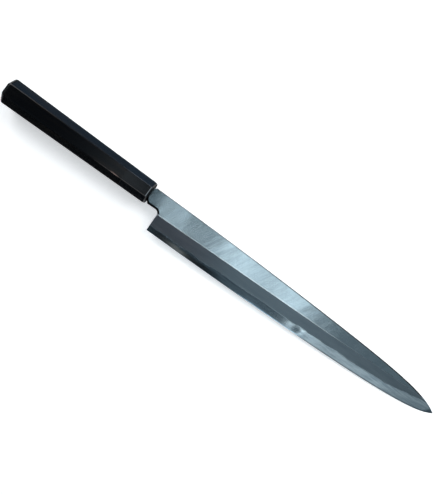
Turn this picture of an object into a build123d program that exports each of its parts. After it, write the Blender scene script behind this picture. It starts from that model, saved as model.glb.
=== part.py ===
from build123d import *
import math
import os

# Yanagiba knife: a single-bevel slicing knife with a two-layer blade and an octagonal handle. All sizes are
# in millimetres. It is drawn straight: X runs along the handle's axis to the tip and is zero at the
# ferrule's front face, Y is zero on the handle's axis and grows towards the spine, and Z is zero on the
# blade's flat back. At the end it is laid down on its back, as it rests on a table.

# Blade
blade_length = 300.0            # heel to tip
blade_height = 34.8             # spine to edge at the heel
spine_above_axis = 6.9
tip_below_axis = 11.0
spine_thickness = 4.0           # at the handle
tip_thickness = 2.0             # what the front flat's taper would leave at the tip
bevel_width = 16.4              # edge to bevel line at the heel
bevel_width_at_tip = 5.8        # the same line carried on to the tip
spine_chamfer = 0.4

# The spine falls and the edge rises to the tip. Each power of the share of the blade's length gives a
# share of the whole fall or rise: a long slow curve, then a quick turn near the tip.
spine_fall_shares = {2: 0.469, 12: 0.399, 30: 0.132}
edge_rise_shares = {2: 0.460, 9: 0.360, 40: 0.180}
blade_station_shares = (0.0, 0.1, 0.2, 0.3, 0.4, 0.5, 0.59, 0.67, 0.74, 0.8, 0.85, 0.89, 0.925, 0.95, 0.97,
                        0.985, 1.0, 1.01)

# Hollow ground into the blade's back
hollow_depth = 0.45
hollow_edge_rim = 2.4
hollow_spine_rim = 3.0
hollow_heel_rim = 5.0
hollow_tip_rim = 18.0
hollow_station_shares = (0.0, 0.01, 0.04, 0.1, 0.2, 0.35, 0.5, 0.65, 0.8, 0.9, 0.96, 0.99, 1.0)
hollow_end_power = 8
hollow_end_share = 0.1          # of its depth, left where it stops

# Hard steel layer, welded to the iron's back. The weld wavers a little along the blade.
steel_thickness = 1.35
steel_rise_at_tip = 0.75
steel_rise_power = 12
steel_start = 7.0               # how far behind the heel the layer begins
steel_wave_shares = (0.0, 0.03, -0.03, 0.02, 0.04, -0.03, 0.0, 0.04, -0.01, 0.06, -0.04, 0.0)

# Neck and tang
neck_length = 15.2              # ferrule to heel
neck_height = 15.4              # at the heel
neck_flare = 0.4                # how much the neck widens towards the handle
neck_chamfer = 0.9
heel_radius = 4.0
spine_shoulder = 1.5
belly_shoulder = 1.9
shoulder_gap = 1.0              # ferrule's face to the shoulders
tang_length = 100.0             # behind the ferrule's face
tang_end_height = 6.0
tang_end_thickness = 2.8

# Handle
handle_length = 149.5
butt_height = 24.2
butt_thickness = 20.4
butt_corner_cut = 6.2
front_height = 20.8
front_thickness = 18.2
front_corner_cut = 5.3
rim_chamfer = 1.0
ferrule_length = 26.0
ferrule_wall = 9.0              # solid horn in front of the dowel

# Dowel and resin inside the handle
dowel_diameter = 14.8
dowel_end_wall = 11.0           # wood behind the tang's end
dowel_clearance = 0.05
dowel_chamfer = 0.8
bore_air = 1.0
resin_gap = 0.5                 # all round the tang
resin_recess = 0.3              # below the ferrule's face

overrun = 1.0                   # how far a cutting shape passes what it cuts

mount_share = 0.4               # of the blade's length, where its flat faces are gripped

edge_y = spine_above_axis - blade_height
heel_x = neck_length
tip_x = heel_x + blade_length
neck_y = spine_above_axis - neck_height
tang_top_y = spine_above_axis - spine_shoulder
tang_bottom_y = neck_y - neck_flare + belly_shoulder
axis_z = spine_thickness / 2
dowel_length = tang_length + dowel_end_wall - ferrule_wall


def along(share):
    """X at a share of the blade's length, from heel to tip."""
    return heel_x + share * blade_length


def eased(share, shares):
    """Share of a whole fall or rise that is reached at this share of the blade's length."""
    return sum(part * share**power for power, part in shares.items())


def spine_y(share):
    return spine_above_axis - (spine_above_axis + tip_below_axis) * eased(share, spine_fall_shares)


def cutting_y(share):
    return edge_y - (edge_y + tip_below_axis) * eased(share, edge_rise_shares)


def bevel_line_y(share):
    """Line along the blade where the front flat ends and the bevel begins."""
    return (1 - share) * (edge_y + bevel_width) + share * (bevel_width_at_tip - tip_below_axis)


def flat_z(x):
    """Height of the blade's front flat above its back."""
    return spine_thickness + (tip_thickness - spine_thickness) * x / tip_x


def weld_z(share, wave):
    """Height of the weld between hard steel and soft iron."""
    return steel_thickness * (1 + wave) + steel_rise_at_tip * share**steel_rise_power


def outline_at(x, points):
    """Closed outline across the knife at X, from (Y, Z) points."""
    return Wire.make_polygon([Vector(x, y, z) for y, z in points], close=True)


def rectangle(low_y, high_y, low_z, high_z):
    return [(low_y, low_z), (high_y, low_z), (high_y, high_z), (low_y, high_z)]


def flat_sided(back_x, back, front_x, front):
    """Solid with flat sides between two outlines that have as many (Y, Z) corners."""
    back_points = [Vector(back_x, y, z) for y, z in back]
    front_points = [Vector(front_x, y, z) for y, z in front]
    corners = [back_points, front_points]
    corners += [[back_points[place - 1], back_points[place], front_points[place], front_points[place - 1]]
                for place in range(len(back))]
    return Solid(Shell([Face(Wire.make_polygon(points, close=True)) for points in corners]))


def blade_plan():
    """Neck and blade seen from the front. It is oversize past the edge, where the bevel cuts it."""
    spine = Spline(*[(along(share), spine_y(share)) for share in blade_station_shares])
    far_x = along(blade_station_shares[-1])
    foot_x = shoulder_gap + belly_shoulder
    back = Polyline((heel_x, spine_above_axis), (shoulder_gap + spine_shoulder, spine_above_axis),
                    (shoulder_gap, tang_top_y), (shoulder_gap, tang_bottom_y),
                    (foot_x, neck_y - neck_flare))
    notch = FilletPolyline((foot_x, neck_y - neck_flare), (heel_x, neck_y), (heel_x, edge_y - overrun),
                           radius=heel_radius)
    end = Polyline((heel_x, edge_y - overrun), (far_x, edge_y - overrun), spine @ 1)
    return make_face([spine, back, notch, end])


def blade_profile():
    """Taper from the neck to the tip, seen from the edge's side."""
    far_x = along(blade_station_shares[-1]) + overrun
    side = Plane.XZ * Polyline((0, 0), (far_x, 0), (far_x, flat_z(far_x)), (0, flat_z(0)), close=True)
    return make_face(side)


def blade_blank():
    """Neck and blade before the bevel is ground, with their long edges eased."""
    plan = extrude(blade_plan(), amount=spine_thickness)
    blank = plan & extrude(blade_profile(), amount=blade_height, both=True)
    blank = chamfer(blank.edges().filter_by(GeomType.BSPLINE), spine_chamfer)
    front = blank.faces().sort_by(SortBy.AREA)[-2:].sort_by(Axis.Z)[-1]
    notch_edges = [edge for edge in front.edges()
                   if (edge @ 0.5).X < heel_x + spine_chamfer and (edge @ 0.5).Y < neck_y + neck_flare]
    return chamfer(notch_edges, neck_chamfer)


def bevel_cut():
    """Everything in front of the bevel: a surface ruled from the bevel line down to the edge."""
    sections = []
    for share in (-overrun / blade_length,) + blade_station_shares:
        height = flat_z(along(share))
        edge = cutting_y(abs(share))
        run = (bevel_line_y(share) - edge) / height
        sections.append(outline_at(along(share), [
            (edge + run * (height + overrun), height + overrun), (edge - run * overrun, -overrun),
            (edge_y - blade_height, -overrun), (edge_y - blade_height, height + overrun)]))
    return Solid.make_loft(sections)


def hollow_cut():
    """Shallow hollow in the back. Its rims follow spine and edge, and it fades out at both ends."""
    length = blade_length - hollow_heel_rim - hollow_tip_rim
    sections = []
    for station in hollow_station_shares:
        share = (hollow_heel_rim + station * length) / blade_length
        fullness = 1 - abs(2 * station - 1)**hollow_end_power * (1 - hollow_end_share)
        low_y = cutting_y(share) + hollow_edge_rim
        high_y = spine_y(share) - hollow_spine_rim
        middle = (low_y + high_y) / 2
        # The arc goes on as far below the back as it rises above it, so it crosses the back at the rims.
        reach = (high_y - low_y) / 2 * math.sqrt(2 * fullness)
        depth = hollow_depth * fullness
        x = along(share)
        arc = ThreePointArc((x, middle - reach, -depth), (x, middle, depth), (x, middle + reach, -depth))
        sections.append(Wire([arc, Line(arc @ 1, arc @ 0)]))
    return Solid.make_loft(sections)


def below_weld():
    """Everything behind the weld between hard steel and soft iron."""
    low_y, high_y = edge_y - overrun, spine_above_axis + overrun
    last = len(steel_wave_shares) - 1
    heights = [(heel_x - steel_start, weld_z(0, steel_wave_shares[0]))]
    for place, wave in enumerate(steel_wave_shares):
        heights.append((along(place / last), weld_z(place / last, wave)))
    heights.append((tip_x + overrun, weld_z(1, steel_wave_shares[-1])))
    return Solid.make_loft([outline_at(x, rectangle(low_y, high_y, -overrun, z)) for x, z in heights])


def tang(gap):
    """Hidden tang from the shoulders to its end. With a gap it is the slot that the resin fills."""
    shoulders = rectangle(tang_bottom_y - gap, tang_top_y + gap, -gap, flat_z(shoulder_gap) + gap)
    half_height = tang_end_height / 2 + gap
    half_thickness = tang_end_thickness / 2 + gap
    end = rectangle(-half_height, half_height, axis_z - half_thickness, axis_z + half_thickness)
    return flat_sided(-tang_length - gap, end, shoulder_gap, shoulders)


def handle_section(x):
    """Corners of the octagon across the handle at X, from the taper between front and butt."""
    share = -x / handle_length
    half_height = (front_height + share * (butt_height - front_height)) / 2
    half_thickness = (front_thickness + share * (butt_thickness - front_thickness)) / 2
    cut = front_corner_cut + share * (butt_corner_cut - front_corner_cut)
    quarter = [(half_height - cut, half_thickness), (half_height, half_thickness - cut)]
    points = quarter + [(y, -z) for y, z in reversed(quarter)]
    points += [(-y, -z) for y, z in quarter] + [(-y, z) for y, z in reversed(quarter)]
    return [(y, axis_z + z) for y, z in points]


def handle_stretch(back_x, front_x):
    return flat_sided(back_x, handle_section(back_x), front_x, handle_section(front_x))


def bar_along_axis(front_x, length, radius):
    """Round bar on the handle's axis, from its front end backwards."""
    end = Plane((front_x, 0, axis_z), x_dir=(0, 1, 0), z_dir=(-1, 0, 0))
    return extrude(end * Circle(radius), amount=length)


def horn_ferrule():
    body = handle_stretch(-ferrule_length, 0)
    body = chamfer(body.faces().sort_by(Axis.X)[-1].edges(), rim_chamfer)
    socket = bar_along_axis(-ferrule_wall, ferrule_length, dowel_diameter / 2 + dowel_clearance)
    return body - socket - tang(resin_gap)


def ebony_grip():
    body = handle_stretch(-handle_length, -ferrule_length)
    body = chamfer(body.faces().sort_by(Axis.X)[0].edges(), rim_chamfer)
    depth = ferrule_wall + dowel_length + bore_air - ferrule_length
    bore = bar_along_axis(overrun - ferrule_length, depth + overrun, dowel_diameter / 2 + dowel_clearance)
    return body - bore


def tang_dowel():
    body = bar_along_axis(-ferrule_wall, dowel_length, dowel_diameter / 2)
    ends = body.faces().filter_by(GeomType.PLANE)
    body = chamfer([edge for face in ends for edge in face.edges()], dowel_chamfer)
    return body - tang(resin_gap)


def tang_resin():
    slot = tang(resin_gap)
    mouth = Box(resin_recess + shoulder_gap + overrun, butt_height, butt_thickness,
                align=(Align.MIN, Align.CENTER, Align.CENTER))
    return slot - tang(0) - Pos(-resin_recess, 0, axis_z) * mouth


blade = blade_blank() - bevel_cut() - hollow_cut()
weld = below_weld()
pieces = {
    "blade_soft_iron": (blade - weld) + tang(0),
    "blade_hard_steel": blade & weld,
    "ebony_grip": ebony_grip(),
    "horn_ferrule": horn_ferrule(),
    "tang_dowel": tang_dowel(),
    "tang_resin": tang_resin(),
}

# Laid on its back, the knife rests on the ferrule's lower front rim and on the tip of the blade.
rest_half = (front_thickness + rim_chamfer / handle_length * (butt_thickness - front_thickness)) / 2
rest_tilt = math.degrees(math.atan2(rest_half - axis_z, tip_x + rim_chamfer))
tilted = Rot(0, rest_tilt, 0) * Compound(list(pieces.values()))
box = tilted.bounding_box()
lay_down = Pos(-box.center().X, -box.center().Y, -box.min.Z) * Rot(0, rest_tilt, 0)

os.makedirs("parts", exist_ok=True)
for name, piece in pieces.items():
    piece = lay_down * piece
    piece.label = name
    export_step(piece, f"parts/{name}.step")
    print(name, len(piece.solids()), "solid", round(piece.volume, 1), "mm3", piece.is_valid)
print("tilt", rest_tilt, "size", box.size)


def print_face(name, point, normal):
    """Say where an outside face lies once the knife is laid down."""
    place = (lay_down * Pos(*point)).position
    direction = (Rot(0, rest_tilt, 0) * Pos(*normal)).position.normalized()
    print(name, [round(value, 4) for value in place], [round(value, 6) for value in direction])


mount_x = along(mount_share)
flat_slope = (tip_thickness - spine_thickness) / tip_x
facet_slope = (butt_thickness - front_thickness) / handle_length / 2
facet_x = -ferrule_length / 2
flat_middle_y = (spine_y(mount_share) + bevel_line_y(mount_share)) / 2
print_face("blade_front_flat", (mount_x, flat_middle_y, flat_z(mount_x)), (-flat_slope, 0, 1))
print_face("blade_back_rim", (mount_x, cutting_y(mount_share) + hollow_edge_rim / 2, 0), (0, 0, -1))
print_face("handle_rest", (facet_x, 0, axis_z - front_thickness / 2 + facet_slope * facet_x),
           (facet_slope, 0, -1))
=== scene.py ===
import logging
import math
from dataclasses import dataclass, field
from enum import Enum
from typing import Any, Callable, Iterable, Sequence

import bmesh
import bpy
from mathutils import Matrix, Vector, noise
from mathutils.geometry import delaunay_2d_cdt


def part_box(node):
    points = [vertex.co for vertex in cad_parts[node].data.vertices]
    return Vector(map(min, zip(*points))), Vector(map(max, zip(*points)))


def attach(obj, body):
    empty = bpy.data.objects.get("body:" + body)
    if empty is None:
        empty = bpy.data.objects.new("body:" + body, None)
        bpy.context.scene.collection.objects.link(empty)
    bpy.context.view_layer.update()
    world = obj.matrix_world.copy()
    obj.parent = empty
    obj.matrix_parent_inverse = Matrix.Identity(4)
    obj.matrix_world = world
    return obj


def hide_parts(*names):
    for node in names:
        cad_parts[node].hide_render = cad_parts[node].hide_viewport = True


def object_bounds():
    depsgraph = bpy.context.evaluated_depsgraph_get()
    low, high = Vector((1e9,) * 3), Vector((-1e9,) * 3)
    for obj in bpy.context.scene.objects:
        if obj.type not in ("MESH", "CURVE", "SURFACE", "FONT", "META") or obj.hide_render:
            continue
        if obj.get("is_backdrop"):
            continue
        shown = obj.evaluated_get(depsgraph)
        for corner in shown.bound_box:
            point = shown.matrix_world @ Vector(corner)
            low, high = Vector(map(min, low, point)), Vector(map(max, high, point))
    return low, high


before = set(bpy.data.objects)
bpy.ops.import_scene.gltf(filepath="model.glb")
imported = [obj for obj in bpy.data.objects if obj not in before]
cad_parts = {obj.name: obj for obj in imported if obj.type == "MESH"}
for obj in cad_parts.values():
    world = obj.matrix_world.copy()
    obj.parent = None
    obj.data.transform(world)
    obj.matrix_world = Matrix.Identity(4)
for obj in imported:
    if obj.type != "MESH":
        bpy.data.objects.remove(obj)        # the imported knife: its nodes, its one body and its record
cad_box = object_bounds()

# Yanagiba knife. Its pieces are drawn straight, in millimetres: X runs along the handle's axis to the tip
# and is zero at the ferrule's front face, Y grows towards the spine, and Z is zero on the blade's flat
# back. RestingPlace then lays them down in the frame, in metres, as the knife lies on a table.

MM = 0.001
PLAN_TOLERANCE = 0.004              # mm, closer than which two points are one
LINE_MARGIN = 0.05                  # mm, by which a line of the net stays clear of the outline
NOTCH_STEPS = 10                    # steps in each part of the line round the notch
SHARP_ANGLE = 24.0                  # degrees, above which an edge stays crisp
HALF = 0.5                          # middle of a share, or half the side of a unit cube

Plan = tuple[float, float]
Place = tuple[float, float, float]
Span = tuple[float, float]
Height = Callable[[float, float], float]
Socket = bpy.types.NodeSocket
Tree = bpy.types.NodeTree

log = logging.getLogger("yanagiba")


class Layer(Enum):
    """The two metals that are forge-welded into one blade."""

    SOFT_IRON = "blade_soft_iron"
    HARD_STEEL = "blade_hard_steel"


class Stretch(Enum):
    """The two stretches of the handle, cut to one octagon."""

    GRIP = "ebony_grip"
    FERRULE = "horn_ferrule"


class Mark(Enum):
    """Attributes that a piece's mesh carries for its material."""

    FROM_WELD = "from_weld"                 # mm above the line where the weld comes out
    FROM_BEVEL_LINE = "from_bevel_line"     # mm above the line where the bevel starts
    WORN_OVER = "worn_over"                 # 1 where the stones have run over the bevel line
    INSIDE_RIM = "inside_rim"               # distance inside the rim, as a share of the width of its band of painted shade
    FROM_FREE_END = "from_free_end"         # mm from the end that is away from the joint
    ON_FRONT = "on_front"                   # 1 on the front facet
    ON_LOWER_RIDGE = "on_lower_ridge"       # 1 on the lower front ridge


def linear(colour: str) -> tuple[float, float, float, float]:
    """Turn an sRGB colour into linear light, by the standard's own curve.

    Args:
        colour: hex digits, such as "#8a5a33".

    Returns:
        Red, green, blue and a full alpha.
    """
    channels = [int(colour[place:place + 2], 16) / 255 for place in (1, 3, 5)]
    red, green, blue = [value / 12.92 if value <= 0.04045 else ((value + 0.055) / 1.055) ** 2.4
                        for value in channels]
    return red, green, blue, 1.0


def add_node(tree: Tree, kind: str, settings: dict[str, Any] | None = None,
             inputs: dict[str, Any] | Iterable[Any] = (), output: str = "",
             stops: Iterable[tuple[float, Any]] = ()) -> Socket | None:
    """Add one node with its settings and links.

    Args:
        tree: the node tree that it goes into.
        kind: the node's type.
        settings: attributes of the node itself.
        inputs: a socket to link from, or a plain value, for inputs by name, or for those in use in order.
        output: name of the output that is handed back.
        stops: for a colour ramp, places and colours, as hex or as a plain grey level.

    Returns:
        That output, or else the first one in use, if the node has any.
    """
    node = tree.nodes.new(kind)
    for name, value in (settings or {}).items():
        setattr(node, name, value)
    if isinstance(inputs, dict):
        given = [(node.inputs[name], value) for name, value in inputs.items()]
    else:
        given = zip([socket for socket in node.inputs if socket.enabled], inputs)
    for socket, value in given:
        if isinstance(value, Socket):
            tree.links.new(value, socket)
        else:
            socket.default_value = value
    for index, (place, level) in enumerate(stops):
        elements = node.color_ramp.elements
        element = elements[index] if index < len(elements) else elements.new(1.0)
        element.position = place
        element.color = linear(level) if isinstance(level, str) else (level, level, level, 1.0)
    return node.outputs[output] if output else next((out for out in node.outputs if out.enabled), None)


@dataclass(frozen=True)
class Pattern:
    """Noise that lies still in the frame, with cells of a real size in millimetres."""

    cell: Place                     # size of a cell along its own X, Y and Z
    turn: float = 0.0               # angle of the cells' long side about Z, in degrees
    detail: float = 3.0             # octaves of finer noise inside each cell

    def level(self, tree: Tree) -> Socket:
        """Build the noise on Object coordinates.

        Args:
            tree: the material's node tree.

        Returns:
            The noise level, from 0 to 1.
        """
        turned = add_node(tree, "ShaderNodeMapping", {"vector_type": "TEXTURE"}, {
            "Vector": add_node(tree, "ShaderNodeTexCoord", output="Object"),
            "Rotation": (0.0, 0.0, math.radians(self.turn)),
            "Scale": tuple(size * MM for size in self.cell)})
        return add_node(tree, "ShaderNodeTexNoise", inputs={
            "Vector": turned, "Scale": 1.0, "Detail": self.detail})


@dataclass(frozen=True)
class Fade:
    """A share that is full towards one end of the knife and fades out along it."""

    full: float                     # X where it is full, in metres in the frame
    gone: float                     # X where it is gone

    def share(self, tree: Tree) -> Socket:
        """Build the share.

        Args:
            tree: the material's node tree.

        Returns:
            The share, from 0 to 1.
        """
        place = add_node(tree, "ShaderNodeSeparateXYZ", inputs=(
            add_node(tree, "ShaderNodeTexCoord", output="Object"),))
        return add_node(tree, "ShaderNodeMapRange", inputs=(place, self.gone, self.full))


@dataclass(frozen=True)
class Tint(Fade):
    """A tone that a colour is multiplied by, and that fades out along the knife."""

    tone: str

    def over(self, tree: Tree, colour: Socket) -> Socket:
        """Lay the tone over a colour.

        Args:
            tree: the material's node tree.
            colour: the colour elsewhere.

        Returns:
            The toned colour.
        """
        return add_node(tree, "ShaderNodeMix", {"data_type": "RGBA", "blend_type": "MULTIPLY"}, (
            self.share(tree), colour, linear(self.tone)))


@dataclass(frozen=True)
class Finish:
    """A finish of a piece, named after its real material and how the surface was made."""

    name: str

    def inputs(self, tree: Tree) -> dict[str, Any]:
        """Build what the shader takes.

        Args:
            tree: the material's node tree.

        Returns:
            A socket or a plain value for each input of the shader, by name.
        """
        raise NotImplementedError

    def material(self) -> bpy.types.Material:
        """Build the material.

        Returns:
            The finished material.
        """
        material = bpy.data.materials.new(self.name)
        material.use_nodes = True
        tree = material.node_tree
        tree.nodes.clear()
        shader = add_node(tree, "ShaderNodeBsdfPrincipled", inputs=self.inputs(tree))
        add_node(tree, "ShaderNodeOutputMaterial", inputs={"Surface": shader})
        return material


@dataclass(frozen=True)
class HonedBevel:
    """The bevel of a layered blade, honed on stones over both metals.

    The soft iron takes a dark, cloudy haze, a little darker and warmer by the heel. The hard steel stays
    bright, with long honing lines and faint clouds, so it shows as a pale band where light falls on it. The
    border between them wanders a little.
    """

    iron_colour: str = "#707e86"
    iron_cloud: str = "#8f9ca3"
    iron_clouds: Pattern = Pattern((26.0, 4.33333, 13.0))
    iron_roughness: float = 0.42
    iron_heel: Tint = Tint(full=-0.030, gone=0.015, tone="#f6e6e6")
    steel_colour: str = "#cedbdf"
    steel_line: str = "#a5b5bd"
    # Real honing lines are far finer; they are drawn coarser so that they show.
    steel_lines: Pattern = Pattern((40.0, 0.8, 0.8), turn=-2.0)
    steel_hazes: Pattern = Pattern((14.0, 3.5, 7.0), turn=12.0)
    steel_haze_share: float = 0.9   # how much the hazes count against the lines
    steel_tone_levels: Span = (0.7, 1.15)
    steel_haze_levels: Span = (0.35, 0.7)
    steel_roughness: Span = (0.14, 0.11)
    border: Pattern = Pattern((11.0, 4.0, 11.0), turn=4.0, detail=4.0)
    border_sway: float = 3.4        # how far the border wanders, in mm
    border_width: float = 1.3

    def sockets(self, tree: Tree, from_weld: Socket) -> tuple[Socket, Socket]:
        """Build colour and roughness of the bevel.

        Args:
            tree: the material's node tree.
            from_weld: the height above the weld line, in mm.

        Returns:
            The sockets of the colour and of the roughness.
        """
        sway, width = self.border_sway / 2, self.border_width / 2
        swayed = add_node(tree, "ShaderNodeMapRange", inputs=(
            self.border.level(tree), 0.0, 1.0, sway, -sway))
        above = add_node(tree, "ShaderNodeMath", {"operation": "ADD"}, (from_weld, swayed))
        on_steel = add_node(tree, "ShaderNodeMapRange", inputs=(above, width, -width))
        iron = add_node(tree, "ShaderNodeMix", {"data_type": "RGBA"}, (
            self.iron_clouds.level(tree), linear(self.iron_colour), linear(self.iron_cloud)))

        hazes = self.steel_hazes.level(tree)
        clouded = add_node(tree, "ShaderNodeMath", {"operation": "MULTIPLY_ADD"}, (
            hazes, self.steel_haze_share, self.steel_lines.level(tree)))
        tone = add_node(tree, "ShaderNodeMapRange", inputs=(clouded, *self.steel_tone_levels))
        steel = add_node(tree, "ShaderNodeMix", {"data_type": "RGBA"}, (
            tone, linear(self.steel_line), linear(self.steel_colour)))
        gloss = add_node(tree, "ShaderNodeMapRange", inputs=(
            hazes, *self.steel_haze_levels, *self.steel_roughness))

        colour = add_node(tree, "ShaderNodeMix", {"data_type": "RGBA"}, (
            on_steel, self.iron_heel.over(tree, iron), steel))
        roughness = add_node(tree, "ShaderNodeMix", inputs=(on_steel, self.iron_roughness, gloss))
        return colour, roughness


@dataclass(frozen=True)
class GroundFlat:
    """The flat and the rims of a blade, belt-ground to a satin.

    Fine slanting grind lines show in uneven patches. The neck gets painted shade, and the eased spine and
    notch get a band of painted shade, which draws a thin dark line round the blade.
    """

    colour: str = "#cbdbe0"
    streak: str = "#b2c3cb"
    # Painted shade: the near-black colour of the band along the eased spine and notch.
    rim_shade_colour: str = "#0c0f11"
    edge_roughness: float = 0.4
    rim_shade_levels: Span = (1.1, 0.8)          # shares of the painted shade band's width between which it fades in
    # Painted shade: the neck's colour is darkened towards the handle.
    neck: Tint = Tint(full=-0.0775, gone=-0.0665, tone="#b7bcbf")
    roughness: Span = (0.1615, 0.228)       # between the patches and in them
    # Real grind lines are about 0.1 mm apart; they are drawn coarser so that they show.
    lines: Pattern = Pattern((24.0, 1.0, 24.0), turn=60.0, detail=2.0)
    cross_lines: Pattern = Pattern((24.0, 1.0, 24.0), turn=128.0, detail=2.0)
    cross_share: float = 0.4                # strength of the lines that cross the others
    line_levels: Span = (0.45, 0.95)
    patches: Pattern = Pattern((30.0, 15.0, 15.0), turn=60.0, detail=2.0)
    patch_levels: Span = (0.35, 0.65)
    patch_strength: Span = (0.35, 0.95)     # of the lines, between the patches and in them
    waves: Pattern = Pattern((24.0, 13.0, 24.0), turn=60.0, detail=1.0)

    def sockets(self, tree: Tree, inside_rim: Socket) -> tuple[Socket, ...]:
        """Build colour, roughness and relief of the flat.

        Args:
            tree: the material's node tree.
            inside_rim: the distance inside the rim, as a share of the width of its painted shade band.

        Returns:
            The sockets of the colour, of the roughness, of the lines' height and of the waves' height.
        """
        crossed = add_node(tree, "ShaderNodeMath", {"operation": "MULTIPLY_ADD"}, (
            self.cross_lines.level(tree), self.cross_share, self.lines.level(tree)))
        lines = add_node(tree, "ShaderNodeMapRange", inputs=(crossed, *self.line_levels, -HALF, HALF))
        patches = add_node(tree, "ShaderNodeMapRange", inputs=(
            self.patches.level(tree), *self.patch_levels, *self.patch_strength))
        grind = add_node(tree, "ShaderNodeMath", {"operation": "MULTIPLY_ADD"}, (lines, patches, HALF))
        ground = add_node(tree, "ShaderNodeMix", {"data_type": "RGBA"}, (
            grind, linear(self.streak), linear(self.colour)))
        satin = add_node(tree, "ShaderNodeMapRange", inputs=(patches, 0.0, 1.0, *self.roughness))
        # The band of painted shade along the eased spine and notch, over the ground colour with the neck's
        # painted shade.
        skin = add_node(tree, "ShaderNodeMapRange", inputs=(inside_rim, *self.rim_shade_levels))
        colour = add_node(tree, "ShaderNodeMix", {"data_type": "RGBA"}, (
            skin, self.neck.over(tree, ground), linear(self.rim_shade_colour)))
        roughness = add_node(tree, "ShaderNodeMix", inputs=(skin, satin, self.edge_roughness))
        return colour, roughness, grind, self.waves.level(tree)


@dataclass(frozen=True)
class BladeMetal(Finish):
    """One metal of the blade, ground on the flat and honed on the bevel.

    The eye gets a satin flat, a crisp pale line of painted highlight where the bevel starts, and the two
    tones of the bevel.
    """

    flat: GroundFlat = GroundFlat()
    bevel: HonedBevel = HonedBevel()
    line_depth: float = 0.001               # of the grind lines, in mm
    wave_depth: float = 0.25                # of the gentle waves that the grinding leaves, in mm
    # Where the bevel's haze stops, in mm above its line: where that is crisp, and where it is worn over.
    haze_stop: Span = (-0.35, 0.8)
    haze_width: float = 0.25                # over which the haze stops
    ridge_highlight_colour: str = "#e2edf0"           # of the crisp line where the bevel starts: a painted highlight
    ridge_width: float = 0.9

    def inputs(self, tree: Tree) -> dict[str, Any]:
        """Build what the shader takes, from the blade's own attributes and Object coordinates.

        Args:
            tree: the material's node tree.

        Returns:
            A socket or a plain value for each input of the shader, by name.
        """
        from_weld, from_line, worn, inside_rim = (
            add_node(tree, "ShaderNodeAttribute", {"attribute_name": mark.value}, output="Fac")
            for mark in (Mark.FROM_WELD, Mark.FROM_BEVEL_LINE, Mark.WORN_OVER, Mark.INSIDE_RIM))
        flat_colour, flat_roughness, lines, waves = self.flat.sockets(tree, inside_rim)
        bevel_colour, bevel_roughness = self.bevel.sockets(tree, from_weld)
        stop = add_node(tree, "ShaderNodeMapRange", inputs=(worn, 0.0, 1.0, *self.haze_stop))
        above = add_node(tree, "ShaderNodeMath", {"operation": "SUBTRACT"}, (from_line, stop))
        on_flat = add_node(tree, "ShaderNodeMapRange", inputs=(
            above, -self.haze_width / 2, self.haze_width / 2))
        # Painted highlight: a pale line along the bevel line, on the heel side, where the stones have not
        # run over it.
        near_line = add_node(tree, "ShaderNodeMapRange", inputs=(
            from_line, self.ridge_width, self.ridge_width / 2))
        burnished = add_node(tree, "ShaderNodeMapRange", inputs=(worn, 0.0, 1.0, near_line, 0.0))
        flat_and_line = add_node(tree, "ShaderNodeMix", {"data_type": "RGBA"}, (
            burnished, flat_colour, linear(self.ridge_highlight_colour)))
        colour = add_node(tree, "ShaderNodeMix", {"data_type": "RGBA"}, (
            on_flat, bevel_colour, flat_and_line))
        roughness = add_node(tree, "ShaderNodeMix", inputs=(on_flat, bevel_roughness, flat_roughness))
        normal = {}
        for height, depth in ((lines, self.line_depth), (waves, self.wave_depth)):
            raised = add_node(tree, "ShaderNodeMath", {"operation": "MULTIPLY"}, (height, on_flat))
            bump = add_node(tree, "ShaderNodeBump", inputs={
                "Height": raised, "Distance": depth * MM, **normal})
            normal = {"Normal": bump}
        return {"Base Color": colour, "Roughness": roughness, "Metallic": 1.0, **normal}


@dataclass(frozen=True)
class PaintedRidgeHighlight:
    """A painted highlight: a paler colour on the lower front ridge of the handle near the blade."""

    # Colour of the painted highlight.
    colour: str = "#75706d"
    reach: Fade = Fade(full=-0.124, gone=-0.138)

    def over(self, tree: Tree, colour: Socket) -> Socket:
        """Lay the painted ridge highlight over a colour.

        Args:
            tree: the material's node tree.
            colour: the colour elsewhere.

        Returns:
            The socket of the joined colour.
        """
        on_ridge = add_node(tree, "ShaderNodeAttribute", {"attribute_name": Mark.ON_LOWER_RIDGE.value},
                            output="Fac")
        highlighted = add_node(tree, "ShaderNodeMath", {"operation": "MULTIPLY"}, (
            on_ridge, self.reach.share(tree)))
        return add_node(tree, "ShaderNodeMix", {"data_type": "RGBA"}, (highlighted, colour, linear(self.colour)))


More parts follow.
